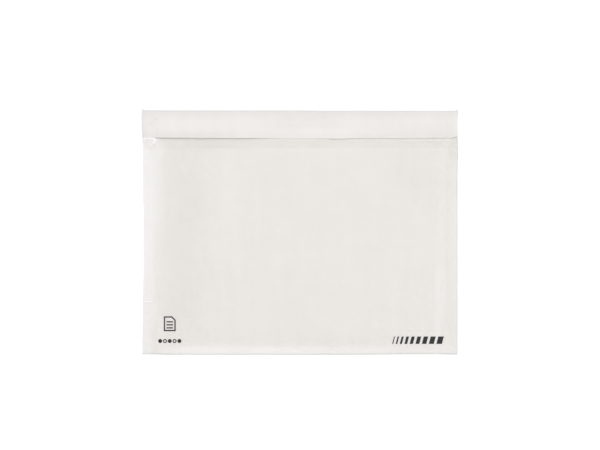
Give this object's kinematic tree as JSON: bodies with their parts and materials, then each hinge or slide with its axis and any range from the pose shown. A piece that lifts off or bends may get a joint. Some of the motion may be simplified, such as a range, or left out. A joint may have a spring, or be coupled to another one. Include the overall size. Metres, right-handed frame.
{
  "type": "packing list envelope",
  "caption": "Flat clear film pouch with welded sides, a fold-over closing flap, an adhesive back and a slit release liner, stuck on a parcel to hold its papers.",
  "frame": {"origin": "middle of the liner's underside, where the envelope lies on a table", "axes": "+X along the flap, to the right seen from the front; +Y up the envelope, to the flap's fold; +Z out of the front"},
  "size_m": [0.23, 0.178, 0.0009],
  "materials": {
    "clear_film": "clear film with a faint haze",
    "welded_film": "two films welded together, slightly paler",
    "flap_film": "folded film, milky",
    "adhesive": "tacky and glossy",
    "release_paper": "smooth siliconised paper, warm white"
  },
  "bodies": {
    "pouch": {"back_film": "clear_film", "left_side_seal": "welded_film", "right_side_seal": "welded_film", "bottom_seal": "welded_film", "adhesive_layer": "adhesive"},
    "front_wall": {"front_film": "clear_film"},
    "flap": {"closing_flap": "flap_film", "flap_fold": "flap_film"},
    "pull_strip": {"liner_pull_strip": "release_paper"},
    "liner": {"liner_main": "release_paper"}
  },
  "joints": [
    {"name": "mouth_open", "type": "hinge", "parent": "pouch", "child": "front_wall", "pos_m": [0, -0.0835, 0.00018], "axis": [1, 0, 0], "range_deg": [0, 6]},
    {"name": "flap_lift", "type": "hinge", "parent": "pouch", "child": "flap", "pos_m": [0, 0.08861, 0.00049], "axis": [-1, 0, 0], "range_deg": [0, 174]},
    {"name": "strip_peel", "type": "hinge", "parent": "pouch", "child": "pull_strip", "pos_m": [-0.115, 0, 0.00008], "axis": [0, 1, 0], "range_deg": [0, 180]},
    {"name": "liner_peel", "type": "hinge", "parent": "pouch", "child": "liner", "pos_m": [0.115, 0, 0.00008], "axis": [0, -1, 0], "range_deg": [0, 180]}
  ],
  "couplings": [
    {"joint": "flap_lift", "follows": "mouth_open", "ratio": 29}
  ]
}
